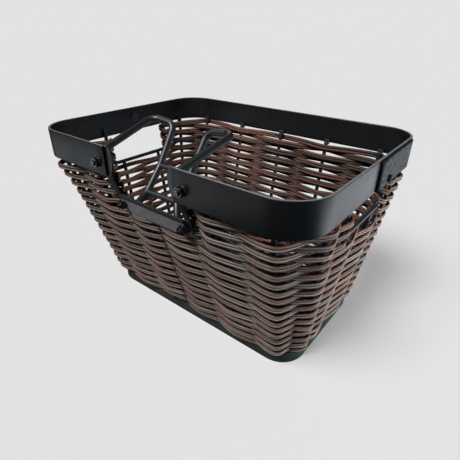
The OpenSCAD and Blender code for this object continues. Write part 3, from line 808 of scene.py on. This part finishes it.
# ---------------------------------------------------------------- floor, light and camera
FLOOR_HALF = 40.0
FLOOR_CORNERS = (-1, -1), (1, -1), (1, 1), (-1, 1)
# the paper's brightness in the picture, the ambient part of it, and the share of light that it returns
PAPER, AMBIENT, PAPER_ALBEDO = 0.767, 0.05, 0.8
# what gloss mirrors where no lamp stands
MIRRORED = (0.02, 0.02, 0.022)

floor_mesh = bpy.data.meshes.new("floor")
floor_mesh.from_pydata([(x * FLOOR_HALF, y * FLOOR_HALF, 0) for x, y in FLOOR_CORNERS], [], [(0, 1, 2, 3)])
floor = bpy.data.objects.new("floor", floor_mesh)
bpy.context.scene.collection.objects.link(floor)
floor_material, floor_tree, floor_shader = node_material("floor_paper")
floor_shader.inputs["Base Color"].default_value = (*(PAPER_ALBEDO,) * 3, 1)
floor_shader.inputs["Roughness"].default_value = 0.9
floor_shader.inputs["Specular IOR Level"].default_value = 0.0
floor_mesh.materials.append(floor_material)
floor.visible_glossy = False
floor.visible_diffuse = False

world = bpy.data.worlds.new("studio")
bpy.context.scene.world = world
world.use_nodes = True
sky = world.node_tree
rays = add(sky, "ShaderNodeLightPath")
seen = mix_color(sky, rays.outputs["Is Camera Ray"], (AMBIENT,) * 3, (PAPER,) * 3)
seen = mix_color(sky, rays.outputs["Is Glossy Ray"], seen, MIRRORED)
sky.links.new(seen, sky.nodes["Background"].inputs["Color"])


def gathered(name, things):
    """A collection that a lamp lights, and no other."""
    group = bpy.data.collections.new(name)
    for thing in things:
        group.objects.link(thing)
    return group


meshes = [thing for thing in bpy.context.scene.objects if thing.type == "MESH"]
basket = gathered("lit_basket", [thing for thing in meshes if thing is not floor])
metal = gathered("lit_metal", [thing for thing in basket.objects
                               if not thing.name.startswith(("woven_course", "joint_plate"))])
paper_only = gathered("lit_paper", [floor])


def aim(thing, target):
    thing.rotation_euler = (Vector(target) - thing.location).to_track_quat("-Z", "Y").to_euler()


def lamp(name, kind, location, target, energy, receivers, **rays_seen):
    """A lamp of energy at location, aimed at target, that lights its receivers alone."""
    thing = bpy.data.objects.new(name, bpy.data.lights.new(name, kind))
    bpy.context.scene.collection.objects.link(thing)
    thing.data.energy = energy
    thing.location = location
    aim(thing, target)
    thing.visible_camera = False
    thing.light_linking.receiver_collection = receivers
    for setting, value in rays_seen.items():
        setattr(thing, setting, value)
    return thing


def softbox(name, location, target, size, energy, receivers, **rays_seen):
    """A rectangular lamp of this width and height in metres."""
    thing = lamp(name, "AREA", location, target, energy, receivers, **rays_seen)
    thing.data.shape, thing.data.size, thing.data.size_y = "RECTANGLE", *size
    return thing


def place_at(azimuth, elevation):
    """A place on the unit sphere, for a lamp at these degrees."""
    a, e = math.radians(azimuth), math.radians(elevation)
    return math.cos(a) * math.cos(e), math.sin(a) * math.cos(e), math.sin(e)


# the key, the ambient light and the paper's own fill together give the paper its brightness
KEY_SHARE, PAPER_KEY_HEIGHT = 0.56, 56
MIDDLE = (0, 0, 0)
paper_light = PAPER / PAPER_ALBEDO
paper_key = lamp("paper_key", "SUN", place_at(-103, PAPER_KEY_HEIGHT), MIDDLE,
                 KEY_SHARE * paper_light * math.pi / math.sin(math.radians(PAPER_KEY_HEIGHT)), paper_only)
paper_key.data.angle = math.radians(28)
basket_key = lamp("basket_key", "SUN", place_at(-110, 54), MIDDLE, 3.0, basket)
basket_key.data.angle = math.radians(22)
paper_fill = lamp("paper_fill", "SUN", (0, 0, 1), MIDDLE,
                  ((1 - KEY_SHARE) * paper_light - AMBIENT) * math.pi, paper_only)
paper_fill.data.use_shadow = False

# soft light that gloss doesn't mirror: place, target, size and energy
FILLS = {"right_fill": ((1.0, 0.45, 0.2), (0.15, 0.05, 0.15), (1.1, 0.5), 25),
         "mouth_fill": ((0.03, 0.0, 0.21), (-0.17, -0.02, 0.15), (0.1, 0.08), 0.22),
         "front_bounce": ((-0.25, -0.7, 0.02), (0, 0, 0.2), (1.2, 0.5), 0.6),
         "back_fill": ((-0.9, 1.1, 0.5), (0, 0, 0.12), (0.9, 0.6), 16)}
fills = {name: softbox(name, *settings, basket, visible_glossy=False) for name, settings in FILLS.items()}
fills["right_fill"].data.color = (0.9, 1.0, 1.06)
softbox("rim_gloss", (-0.9, 1.15, 0.95), (0, 0, 0.2), (0.7, 0.5), 2.2, metal, visible_diffuse=False)
softbox("top_gloss", (-0.5, -0.9, 1.6), (0, 0, 0.15), (0.5, 0.5), 8, basket, visible_diffuse=False)


GLOW_COLOR = (0.93, 0.99, 1.05)


def paper_glow(name, low, high, energy, height=0.004):
    """The bright paper as the upright metal mirrors it: a patch of light lying on the floor."""
    middle = [(a + b) / 2 for a, b in zip(low, high)]
    size = [b - a for a, b in zip(low, high)]
    glow = softbox(name, (*middle, height), (*middle, 1), size, energy, metal, visible_diffuse=False)
    glow.data.color = GLOW_COLOR


paper_glow("right_glow", (0.3, 0.05), (1.1, 1.2), 6.0)
paper_glow("left_glow", (-1.3, -1.3), (-0.15, -0.3), 3.1)
paper_glow("mouth_glow", (-0.18, -0.1), (0.18, 0.13), 0.05, height=0.2)

# the camera's place in metres and its lens, as fitted to the photo's view
AZIMUTH, ELEVATION, ROLL = math.radians(38.1824), math.radians(29.3157), math.radians(0.4555)
CAMERA_PLACE = (0.30109, -0.37193, 0.3732)
FOCAL, FRAME_SIDE = 369.14, 460

camera = bpy.data.objects.new("camera", bpy.data.cameras.new("camera"))
bpy.context.scene.collection.objects.link(camera)
back = Vector((math.sin(AZIMUTH) * math.cos(ELEVATION),
               -math.cos(AZIMUTH) * math.cos(ELEVATION),
               math.sin(ELEVATION)))
right = Vector((math.cos(AZIMUTH), math.sin(AZIMUTH), 0))
up = back.cross(right)
right, up = math.cos(ROLL) * right + math.sin(ROLL) * up, math.cos(ROLL) * up - math.sin(ROLL) * right
turned = Matrix((right, up, back)).transposed().to_4x4()
camera.matrix_world = Matrix.Translation(CAMERA_PLACE) @ turned
camera.data.sensor_width = 36
camera.data.lens = FOCAL / FRAME_SIDE * camera.data.sensor_width
bpy.context.scene.camera = camera
bpy.context.scene.view_settings.view_transform = "Standard"
